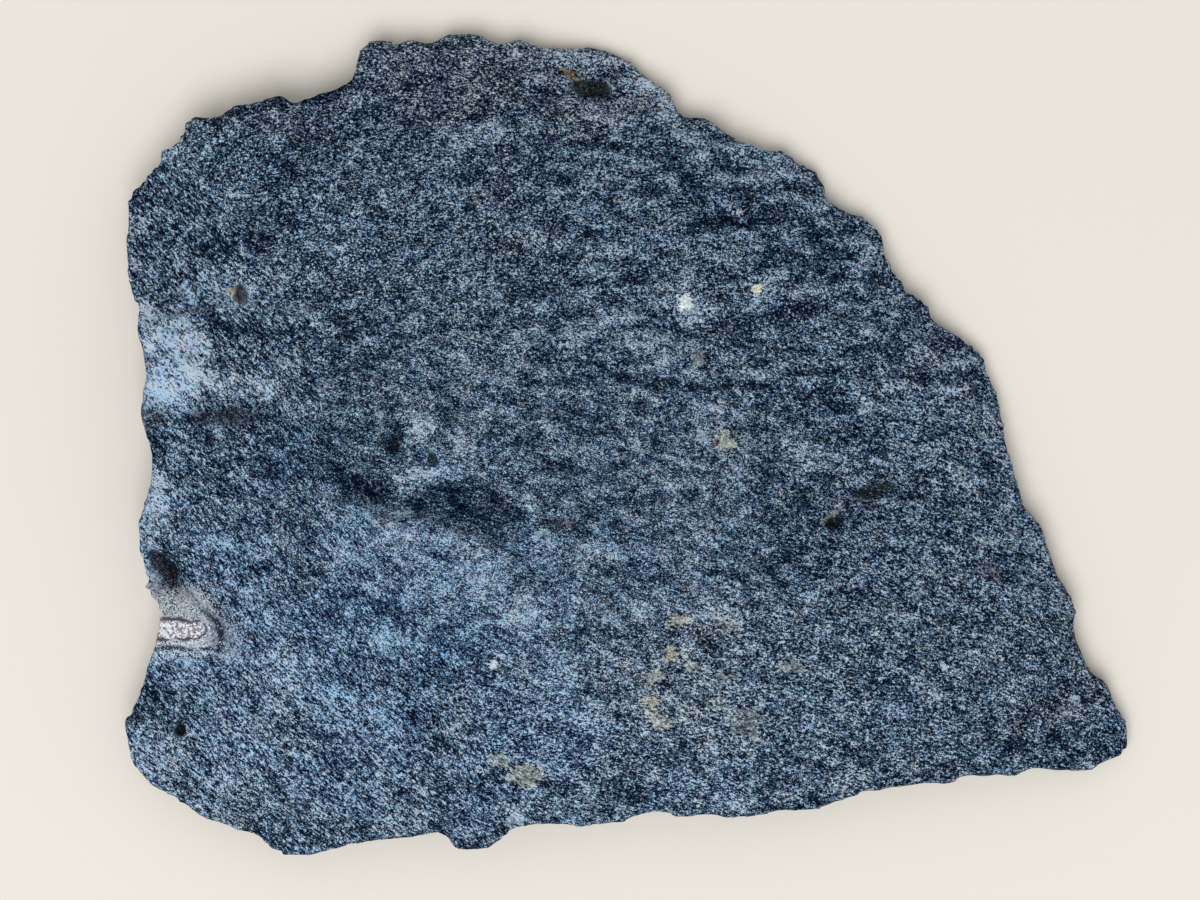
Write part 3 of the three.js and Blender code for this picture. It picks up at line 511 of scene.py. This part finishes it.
def new_group(name, kind, inputs, outputs):
    """A node group with those sockets, its wiring, and its own input and output nodes."""
    tree = bpy.data.node_groups.new(name, kind)
    for socket, socket_type in inputs:
        tree.interface.new_socket(socket, in_out="INPUT", socket_type=socket_type)
    for socket, socket_type in outputs:
        tree.interface.new_socket(socket, in_out="OUTPUT", socket_type=socket_type)
    wiring = Wiring(tree)
    return tree, wiring, wiring.node("NodeGroupInput").outputs, wiring.node("NodeGroupOutput").inputs


def oval_group(kind, name):
    """How far out a place lies in an oval: 0 in its middle and 1 at its edge."""
    tree, wire, given, out = new_group(
        name,
        kind,
        (
            ("Place", "NodeSocketVector"),
            ("Middle", "NodeSocketVector"),
            ("Half Size", "NodeSocketVector"),
            ("Turn", "NodeSocketFloat"),
        ),
        (("Reach", "NodeSocketFloat"),),
    )
    away = wire.vector("SUBTRACT", given["Place"], given["Middle"])
    turned = wire.turned(away, wire.maths("MULTIPLY", given["Turn"], -1))
    wire.feed(out["Reach"], wire.length(wire.vector("DIVIDE", turned, given["Half Size"])))
    return tree


def grain_group(kind, name):
    """Places drawn out along the grain, which falls to the right: steeply at the lower left, and little above."""
    tree, wire, given, out = new_group(
        name,
        kind,
        (("Place", "NodeSocketVector"), ("Stretch", "NodeSocketFloat")),
        (("Place", "NodeSocketVector"),),
    )

    def drawn(fall, power):
        """The place shortened along a line that falls that steeply, by a power of the stretch."""
        shape = wire.node("ShaderNodeCombineXYZ", X=wire.maths("POWER", given["Stretch"], -power), Y=1.0, Z=1.0)
        return wire.vector("MULTIPLY", wire.turned(given["Place"], math.radians(fall)), shape.outputs[0])

    strayed = wire.parts(wire.wander(given["Place"], 4, 9))
    lower_left = wire.maths("LESS_THAN", wire.maths("ADD", strayed[0], wire.maths("MULTIPLY", strayed[1], 0.5)), -28)
    upper = wire.maths("GREATER_THAN", strayed[1], 12)
    flowing = wire.mixed_vectors(upper, drawn(17, 0.6), drawn(5, 0.35))
    wire.feed(out["Place"], wire.mixed_vectors(lower_left, flowing, drawn(43, 1)))
    return tree


def filling_group(kind, name):
    """The banded filling of the cavity: its colour, and how much it covers."""
    tree, wire, given, out = new_group(
        name,
        kind,
        (("Place", "NodeSocketVector"), ("Grain", "NodeSocketFloat")),
        (("Colour", "NodeSocketColor"), ("Share", "NodeSocketFloat")),
    )
    strayed = wire.wander(wire.wander(given["Place"], 1.6, 1.0), 0.35, 0.3)
    parts = wire.parts(strayed)

    def spans(middle, length, width):
        """How far out a place lies to the side and up or down, as shares of the half length and half width."""
        across = wire.maths("ABSOLUTE", wire.maths("SUBTRACT", parts[0], middle[0]))
        up = wire.maths("ABSOLUTE", wire.maths("SUBTRACT", parts[1], middle[1]))
        return wire.maths("DIVIDE", across, length), wire.maths("DIVIDE", up, width)

    across, up = (wire.maths("POWER", span, 3) for span in spans(*FILLING_INNER))
    cubes = wire.maths("ADD", across, up)
    inner = wire.maths("POWER", cubes, 1 / 3)
    _, inner_length, inner_width = FILLING_INNER
    sideways = wire.maths("DIVIDE", across, wire.maths("ADD", cubes, 0.01))
    inner_scale = wire.mixed(sideways, inner_width, inner_length)

    (x, y), length, width = FILLING_OUTER
    slanted = wire.maths("MULTIPLY", wire.total(parts[0], parts[1], -x - y), 1 / length)
    across = wire.maths("MAXIMUM", spans((x, y), length, width)[0], slanted)
    height = wire.maths("MULTIPLY", wire.maths("SUBTRACT", parts[1], y), 1 / width)
    down = wire.maths("MULTIPLY", height, -1)
    outer = wire.maths("MAXIMUM", across, down)
    outer_scale = wire.mixed(wire.maths("GREATER_THAN", across, down), width, 0.8 * length)
    patch = wire.noise(given["Place"], 0.9)
    grain = wire.centred(given["Grain"], 1)

    higher = wire.maths("SUBTRACT", parts[1], wire.centred(patch, 2))
    colour = wire.blended(wire.ramp(higher, -17.6, -17.1), FILLING_UNDER, FILLING_OVER)
    colour = wire.blended(wire.ramp(higher, -15.7, -15), colour, FILLING_TOP)
    colour = wire.blended(wire.ramp(parts[0], -42.4, -41.2), colour, FILLING_RIGHT)
    core = wire.ramp(wire.maths("ADD", inner, grain), 1.0, 0.8)
    colour = wire.blended(core, colour, FILLING_CORE)
    mottle = wire.total(wire.noise(given["Place"], 0.4), wire.maths("MULTIPLY", grain, 0.6))
    shade = wire.maths("MULTIPLY", core, wire.ramp(mottle, 0.44, 0.58, 0, 0.95))
    colour = wire.blended(shade, colour, FILLING_SHADE)
    speckle = wire.ramp(wire.total(given["Grain"], wire.centred(patch, 0.4)), 0.52, 0.64)
    speckle = wire.maths("MULTIPLY", speckle, wire.mixed(core, 0.85, 0.1))
    colour = wire.blended(speckle, colour, FILLING_SPECKLE)
    colour = wire.scaled(colour, wire.total(0.95, wire.maths("MULTIPLY", grain, wire.mixed(core, -1.6, -0.6))))
    over = wire.ramp(parts[1], y - 0.4, y + 0.2)
    faded = wire.ramp(parts[1], -17.6, -15.8, 1, 0.45)
    for reach, scale, under_width, over_width, strength, tint in (
        (inner, inner_scale, 0.15, 0.21, 1, INNER_LINE),
        (outer, outer_scale, 0.23, 0.34, faded, OUTER_LINE),
    ):
        away = wire.maths("ABSOLUTE", wire.maths("SUBTRACT", reach, 1))
        away = wire.maths("MULTIPLY", away, scale)
        away = wire.maths("DIVIDE", away, wire.mixed(over, under_width, over_width))
        line = wire.ramp(wire.maths("ADD", away, wire.maths("MULTIPLY", grain, 4)), 1.0, 0.55)
        strength = wire.maths("MULTIPLY", wire.ramp(patch, 0.3, 0.42, 0.2, 0.95), strength)
        line = wire.maths("MULTIPLY", line, strength)
        colour = wire.blended(line, colour, tint)
    wire.feed(out["Colour"], colour)
    furthest = wire.maths("MAXIMUM", outer, wire.maths("MULTIPLY", height, 0.75))
    edge = wire.ramp(wire.total(furthest, wire.maths("MULTIPLY", grain, 1.6)), 1.25, 1.0)
    high = wire.ramp(parts[2], 0.9, 1.6)
    wire.feed(out["Share"], wire.maths("MULTIPLY", edge, high))
    return tree


class SlabSizes(bpy.types.PropertyGroup):
    voxel: FloatProperty(name="Mesh size", description="Of the first even mesh", default=0.65 * MM, unit="LENGTH")
    lump_height: FloatProperty(name="Lumps", description="Height of the 5 mm lumps", default=0.6 * MM, unit="LENGTH")
    grit_height: FloatProperty(name="Grit", description="Height of the 1 mm grit", default=0.3 * MM, unit="LENGTH")
    grain_height: FloatProperty(name="Grain", description="Height of the fine grain", default=0.12 * MM, unit="LENGTH")
    ripple_height: FloatProperty(
        name="Ripples", description="Height of the ripples at the upper right", default=0.4 * MM, unit="LENGTH"
    )
    smoothing: IntProperty(name="Smoothing", description="Passes over the even mesh", default=2)


class RockColours(bpy.types.PropertyGroup):
    darkest: FloatVectorProperty(
        name="Darkest grain",
        description="Of the iron-rich grains",
        size=4,
        default=(0.0002, 0.0015, 0.009, 1),
        subtype="COLOR",
    )
    dark: FloatVectorProperty(
        name="Dark grain",
        description="Of most dark grains",
        size=4,
        default=(0.0055, 0.018, 0.045, 1),
        subtype="COLOR",
    )
    body: FloatVectorProperty(
        name="Body",
        description="Of the rock seen from afar",
        size=4,
        default=(0.05, 0.091, 0.147, 1),
        subtype="COLOR",
    )
    pale: FloatVectorProperty(
        name="Pale grain",
        description="Of the feldspar grains",
        size=4,
        default=(0.18, 0.255, 0.345, 1),
        subtype="COLOR",
    )
    palest: FloatVectorProperty(
        name="Palest grain",
        description="Of the glinting grains",
        size=4,
        default=(0.45, 0.56, 0.67, 1),
        subtype="COLOR",
    )


class StageSettings(bpy.types.PropertyGroup):
    camera_height: FloatProperty(name="Camera height", description="Over the table", default=0.405, unit="LENGTH")
    lens: FloatProperty(name="Lens", description="Focal length in millimetres", default=120.0)
    key_power: FloatProperty(name="Key light", description="Power in watts", default=8.0, unit="POWER")
    key_size: FloatProperty(name="Key size", description="Width of the soft light", default=0.9, unit="LENGTH")
    sky: FloatProperty(name="Sky light", description="Strength of the light from all round", default=0.5)
    table: FloatVectorProperty(
        name="Table", description="Colour of the table top", size=4, default=(0.84, 0.8, 0.725, 1), subtype="COLOR"
    )


def merged_copy(node, name):
    """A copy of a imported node, with its loose triangles joined."""
    bpy.ops.object.select_all(action="DESELECT")
    node.select_set(True)
    bpy.context.view_layer.objects.active = node
    bpy.ops.object.duplicate()
    piece = bpy.context.active_object
    bpy.ops.object.parent_clear(type="CLEAR_KEEP_TRANSFORM")
    piece.name = name
    piece.data.name = name
    del piece["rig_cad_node"]
    bpy.ops.object.mode_set(mode="EDIT")
    bpy.ops.mesh.select_all(action="SELECT")
    bpy.ops.mesh.remove_doubles(threshold=0.005 * MM)
    bpy.ops.mesh.customdata_custom_splitnormals_clear()
    bpy.ops.object.mode_set(mode="OBJECT")
    return piece


def apply_all(piece):
    bpy.context.view_layer.objects.active = piece
    for modifier in list(piece.modifiers):
        bpy.ops.object.modifier_apply(modifier=modifier.name)


def height_over(node, x, y):
    """Height of the node's upper face over a point of the table, all in millimetres."""
    hit, place, _, _ = node.ray_cast(Vector((x * MM, y * MM, 0.1)), Vector((0, 0, -1)))
    return place.z / MM if hit else 5.0


def refine_upper_face(piece):
    """Halves the mesh size where the piece faces up."""
    bpy.context.tool_settings.mesh_select_mode = (False, False, True)
    for face in piece.data.polygons:
        face.select = face.normal.z > 0.45
    bpy.ops.object.mode_set(mode="EDIT")
    bpy.ops.mesh.subdivide(number_cuts=1)
    bpy.ops.object.mode_set(mode="OBJECT")


def upper_right_ripples(wire, place):
    """Low ripples that rise a little to the right, from -1 in a hollow to 1 on a ridge, and where they are."""
    parts = wire.parts(place)
    drawn = wire.vector("MULTIPLY", wire.turned(place, math.radians(-3)), (0.26, 1, 1))
    waves = wire.total(wire.centred(wire.noise(drawn, 1.5), 3), wire.centred(wire.noise(drawn, 0.8), 1.2))
    share = wire.maths("MULTIPLY", wire.ramp(parts[0], -24, 2), wire.ramp(parts[1], -12, 8))
    return wire.maths("MULTIPLY", waves, share)


def fracture_relief(node, sizes):
    """Geometry nodes that roughen the slab's skin, and keep as attributes its tones and spots, painted light and shade
    among them.
    """
    oval = oval_group("GeometryNodeTree", "Oval place")
    grain = grain_group("GeometryNodeTree", "Grain of the relief")
    tree = bpy.data.node_groups.new("Fracture relief", "GeometryNodeTree")
    tree.interface.new_socket("Geometry", in_out="INPUT", socket_type="NodeSocketGeometry")
    tree.interface.new_socket("Geometry", in_out="OUTPUT", socket_type="NodeSocketGeometry")
    wire = Wiring(tree)
    given = wire.node("NodeGroupInput").outputs[0]
    normal = wire.node("GeometryNodeInputNormal").outputs[0]
    place = wire.scaled(wire.node("GeometryNodeInputPosition").outputs[0], 1 / MM)
    facing_up = wire.ramp(wire.parts(normal)[2], 0.1, 0.5)
    streaked = wire.group(grain, Place=place, Stretch=1.9).outputs[0]
    ripples = wire.maths("MULTIPLY", upper_right_ripples(wire, place), facing_up)

    raised = wire.total(
        wire.centred(wire.noise(place, 5, 1), sizes.lump_height / MM),
        wire.centred(wire.noise(place, 2.4), 0.8 * sizes.lump_height / MM),
        wire.centred(wire.noise(streaked, 1.1, 1), sizes.grit_height / MM),
        wire.centred(wire.noise(streaked, 0.62), sizes.grain_height / MM),
        wire.maths("MULTIPLY", ripples, 0.4 * sizes.ripple_height / MM),
    )

    strayed = wire.wander(place, 1.6, 2.4)
    slightly = wire.wander(place, 1.2, 0.9)

    def reach(middle, length, width, turn, depth, where):
        made = wire.group(oval, Place=where, Middle=middle, Turn=math.radians(turn))
        made.inputs["Half Size"].default_value = (length, width, depth)
        return made.outputs[0]

    for _, (x, y), length, width, turn, depth in PITS:
        out = reach((x, y, height_over(node, x, y)), length, width, turn, PIT_REACH_MM, slightly)
        raised = wire.maths("SUBTRACT", raised, wire.ramp(out, 1.4, 0.5, 0, depth))

    # Painted shade and light of the ripples: their hollows are darker and their ridges lighter
    tone_and_shade = wire.maths("MULTIPLY", ripples, 0.24)
    for _, (x, y), length, width, turn, amount in TONES:
        out = reach((x, y, 0), length, width, turn, MARK_REACH_MM, strayed)
        tone_and_shade = wire.maths("ADD", tone_and_shade, wire.ramp(out, 1.5, 0.5, 0, amount))
    tone_and_shade = wire.maths("MULTIPLY", tone_and_shade, wire.maths("MULTIPLY", facing_up, 1.05))

    spot, cover, colour = 0.0, 0.0, (0, 0, 0)
    for _, (x, y), length, width, turn, tint, amount in SPOTS:
        out = reach((x, y, 0), length, width, turn, MARK_REACH_MM, slightly)
        share = wire.maths("SUBTRACT", 1.5, out, clamp=True)
        nearer = wire.maths("GREATER_THAN", share, wire.maths("MULTIPLY", spot, 0.6))
        cover = wire.mixed(nearer, cover, amount)
        colour = wire.mixed_vectors(nearer, colour, tint)
        spot = wire.mixed(nearer, spot, share)
    spot = wire.maths("MULTIPLY", spot, facing_up)

    blueness = 0.0
    for _, (x, y), length, width, turn, amount in TINTS:
        out = reach((x, y, 0), length, width, turn, MARK_REACH_MM, strayed)
        blueness = wire.maths("ADD", blueness, wire.ramp(out, 1.6, 0.2, 0, amount))

    kept = given
    for kind, name, value in (
        ("FLOAT", "tone_and_shade", tone_and_shade),
        ("FLOAT", "spot", spot),
        ("FLOAT", "spot_cover", cover),
        ("FLOAT_VECTOR", "spot_colour", colour),
        ("FLOAT", "blueness", blueness),
        ("FLOAT", "upper_face", facing_up),
    ):
        kept = wire.stored(kept, kind, name, value)
    moved = wire.node("GeometryNodeSetPosition", Geometry=kept)
    wire.feed(moved.inputs["Offset"], wire.scaled(normal, wire.maths("MULTIPLY", raised, MM)))
    settled = wire.parts(wire.node("GeometryNodeInputPosition").outputs[0])
    above = wire.node("ShaderNodeCombineXYZ", X=settled[0], Y=settled[1], Z=wire.maths("MAXIMUM", settled[2], 0))
    rested = wire.node("GeometryNodeSetPosition", Geometry=moved.outputs[0], Position=above.outputs[0])
    out = wire.node("NodeGroupOutput")
    wire.feed(out.inputs[0], rested.outputs[0])
    return tree


def basalt_material(colours):
    """Dark iron-rich and pale feldspar grains, with the slab's tones, mineral spots, painted light and shade, and
    filled cavity.
    """
    grain = grain_group("ShaderNodeTree", "Grain direction")
    filling = filling_group("ShaderNodeTree", "Banded filling")
    material = bpy.data.materials.new("Broken basalt")
    material.use_nodes = True
    wire = Wiring(material.node_tree)
    shader = material.node_tree.nodes["Principled BSDF"]
    place = wire.scaled(wire.node("ShaderNodeTexCoord").outputs["Object"], 1 / MM)
    streaked = wire.group(grain, Place=place, Stretch=2.2).outputs[0]

    def attribute(name, output):
        return wire.node("ShaderNodeAttribute", {"attribute_name": name}).outputs[output]

    finest = wire.noise(wire.group(grain, Place=place, Stretch=1.5).outputs[0], 0.11)
    fine = wire.noise(streaked, 0.22)
    clumps = wire.noise(streaked, 0.55)
    grains = wire.grains(place, 0.2)
    from_ledge = wire.vector("MULTIPLY", wire.vector("ADD", place, (12, 5, 0)), (0.55, 1, 0))
    coarser = wire.ramp(wire.length(from_ledge), 6, 25)
    # The lightness takes the face's tones, which also hold painted light on lit slopes and painted shade in ripples,
    # hollows and along the right-hand edge
    value = wire.total(
        wire.maths("ADD", wire.mixed(coarser, 0.423, 0.404), attribute("tone_and_shade", "Fac")),
        wire.centred(finest, 1.7),
        wire.centred(fine, wire.mixed(coarser, 0.72, 1.35)),
        wire.centred(grains, 0.26),
        wire.centred(clumps, 0.6),
        wire.centred(wire.noise(streaked, 1.3), 0.5),
        wire.centred(wire.noise(place, 3.2), 0.2),
    )
    ramp = wire.node("ShaderNodeValToRGB", Fac=value)
    stops = ramp.color_ramp.elements
    stops[0].position = 0.05
    stops[0].color = colours.darkest
    stops[1].position = 1.0
    stops[1].color = colours.palest
    for position, colour in ((0.25, colours.dark), (0.49, colours.body), (0.72, colours.pale)):
        stops.new(position).color = colour
    colour = ramp.outputs[0]

    rusty = wire.maths("ADD", wire.noise(place, 1.4), wire.centred(grains, 0.3))
    brownish = wire.ramp(rusty, 0.6, 0.78, 0, 0.5)
    dark_grain = wire.ramp(value, 0.6, 0.35)
    colour = wire.blended(wire.maths("MULTIPLY", brownish, dark_grain), colour, (1.5, 0.95, 0.6, 1), "MULTIPLY")
    bluish = wire.total(
        attribute("blueness", "Fac"),
        wire.centred(wire.noise(place, 0.9), 3),
        wire.centred(grains, 1.2),
        wire.centred(wire.noise(place, 6), 2),
    )
    shift = wire.node("ShaderNodeCombineXYZ")
    wire.feed(shift.inputs[0], wire.maths("ADD", 1, wire.maths("MULTIPLY", bluish, -0.11)))
    wire.feed(shift.inputs[1], wire.maths("ADD", 1, wire.centred(wire.noise(place, 0.7), 0.22)))
    wire.feed(shift.inputs[2], wire.maths("ADD", 1, wire.maths("MULTIPLY", bluish, 0.08)))
    colour = wire.vector("MULTIPLY", colour, shift.outputs[0])
    # Browner on the faces that do not face up: the sides and the underside
    side_browning = wire.maths("SUBTRACT", 1, attribute("upper_face", "Fac"))
    colour = wire.blended(wire.maths("MULTIPLY", side_browning, 0.5), colour, (1.25, 0.92, 0.7, 1), "MULTIPLY")
    rare = wire.ramp(wire.grains(place, 0.3), 0.991, 0.994, 0, 0.4)
    colour = wire.blended(rare, colour, (0.1, 0.08, 0.055, 1))

    cover = attribute("spot_cover", "Fac")
    rough_edge = wire.total(wire.centred(fine, 1.2), wire.centred(clumps, 0.9), wire.centred(finest, 0.7))
    ragged = wire.maths("MULTIPLY", rough_edge, wire.maths("SUBTRACT", 1.75, wire.maths("MULTIPLY", cover, 1.3)))
    spotted = wire.ramp(wire.maths("ADD", attribute("spot", "Fac"), ragged), 0.4, 0.75)
    texture = wire.total(0.95, wire.centred(fine, 1), wire.centred(clumps, 0.8), wire.centred(finest, 0.8))
    crystal = wire.scaled(attribute("spot_colour", "Color"), texture)
    grain_shows = wire.ramp(wire.maths("ABSOLUTE", wire.maths("SUBTRACT", finest, 0.5)), 0.06, 0.16)
    through = wire.maths("MULTIPLY", grain_shows, wire.maths("SUBTRACT", 1.05, cover, clamp=True))
    grainy = wire.blended(through, crystal, colour)
    colour = wire.blended(wire.maths("MULTIPLY", spotted, cover), colour, grainy)

    filled = wire.group(filling, Place=place, Grain=wire.noise(place, 0.16)).outputs
    colour = wire.blended(filled["Share"], colour, filled["Colour"])
    wire.feed(shader.inputs["Base Color"], colour)

    wire.feed(shader.inputs["Roughness"], wire.ramp(grains, 0.2, 0.9, 0.8, 0.55))
    shader.inputs["Specular IOR Level"].default_value = 0.05
    bump = wire.node("ShaderNodeBump", Height=finest)
    bump.inputs["Strength"].default_value = 0.6
    bump.inputs["Distance"].default_value = 0.05 * MM
    wire.feed(shader.inputs["Normal"], bump.outputs[0])
    return material


class BASALT_OT_slab(bpy.types.Operator):
    """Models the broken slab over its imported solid"""

    bl_idname = "basalt.slab"
    bl_label = "Broken slab"

    def execute(self, context):
        sizes = context.scene.basalt_sizes
        node = frame["nodes"]["basalt_slab"]
        piece = merged_copy(node, "broken_slab")
        remesh = piece.modifiers.new("Even mesh", "REMESH")
        remesh.mode = "VOXEL"
        remesh.voxel_size = sizes.voxel
        apply_all(piece)
        refine_upper_face(piece)
        wrap = piece.modifiers.new("Back to the solid", "SHRINKWRAP")
        wrap.target = node
        wrap.wrap_method = "NEAREST_SURFACEPOINT"
        smooth = piece.modifiers.new("Smoothing", "SMOOTH")
        smooth.factor = 0.5
        smooth.iterations = sizes.smoothing
        relief = piece.modifiers.new("Fracture relief", "NODES")
        relief.node_group = fracture_relief(node, sizes)
        apply_all(piece)
        bpy.ops.object.select_all(action="DESELECT")
        piece.select_set(True)
        bpy.ops.object.shade_smooth()
        piece.data.materials.clear()
        piece.data.materials.append(basalt_material(context.scene.basalt_colours))
        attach(piece, "root")
        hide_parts("basalt_slab")
        return {"FINISHED"}


class BASALT_OT_stage(bpy.types.Operator):
    """Makes the pale table, the soft light and the camera"""

    bl_idname = "basalt.stage"
    bl_label = "Table, light and camera"

    def execute(self, context):
        settings = context.scene.basalt_stage
        bpy.ops.object.select_all(action="DESELECT")
        bpy.ops.mesh.primitive_plane_add(size=4, location=(0, 0, -0.02 * MM))
        table = context.active_object
        table.name = "table_top"
        paint = bpy.data.materials.new("Table top")
        paint.use_nodes = True
        shader = paint.node_tree.nodes["Principled BSDF"]
        shader.inputs["Base Color"].default_value = settings.table
        shader.inputs["Roughness"].default_value = 0.9
        shader.inputs["Specular IOR Level"].default_value = 0.1
        table.data.materials.append(paint)

        towards = Vector((-0.3, -0.95, 1.87)).normalized()
        bpy.ops.object.light_add(type="AREA", location=towards * 1.1)
        key = context.active_object
        key.name = "key_light"
        key.rotation_euler = towards.to_track_quat("Z", "Y").to_euler()
        key.data.shape = "DISK"
        key.data.size = settings.key_size
        key.data.energy = settings.key_power

        world = bpy.data.worlds.new("Sky")
        world.use_nodes = True
        world.node_tree.nodes["Background"].inputs["Color"].default_value = (1, 1, 1, 1)
        world.node_tree.nodes["Background"].inputs["Strength"].default_value = settings.sky
        context.scene.world = world

        bpy.ops.object.camera_add(location=(-2.95 * MM, -0.65 * MM, settings.camera_height), rotation=(0, 0, 0))
        camera = context.active_object
        camera.name = "camera"
        camera.data.lens = settings.lens
        camera.data.clip_start = 0.01
        context.scene.camera = camera
        context.scene.view_settings.view_transform = "Standard"
        return {"FINISHED"}


class BASALT_PT_panel(bpy.types.Panel):
    bl_idname = "BASALT_PT_panel"
    bl_label = "Basalt slab"
    bl_space_type = "VIEW_3D"
    bl_region_type = "UI"
    bl_category = "Basalt"

    def draw(self, context):
        scene = context.scene
        for operator, settings in (
            (BASALT_OT_slab, (scene.basalt_sizes, scene.basalt_colours)),
            (BASALT_OT_stage, (scene.basalt_stage,)),
        ):
            box = self.layout.box()
            for group in settings:
                for name in group.bl_rna.properties.keys():
                    if name not in ("rna_type", "name"):
                        box.prop(group, name)
            box.operator(operator.bl_idname)


CLASSES = (SlabSizes, RockColours, StageSettings, BASALT_OT_slab, BASALT_OT_stage, BASALT_PT_panel)


def register():
    for made in CLASSES:
        bpy.utils.register_class(made)
    bpy.types.Scene.basalt_sizes = PointerProperty(type=SlabSizes)
    bpy.types.Scene.basalt_colours = PointerProperty(type=RockColours)
    bpy.types.Scene.basalt_stage = PointerProperty(type=StageSettings)


def unregister():
    del bpy.types.Scene.basalt_sizes
    del bpy.types.Scene.basalt_colours
    del bpy.types.Scene.basalt_stage
    for made in reversed(CLASSES):
        bpy.utils.unregister_class(made)


def main():
    register()
    bpy.ops.basalt.slab()
    bpy.ops.basalt.stage()


if __name__ == "__main__":
    main()
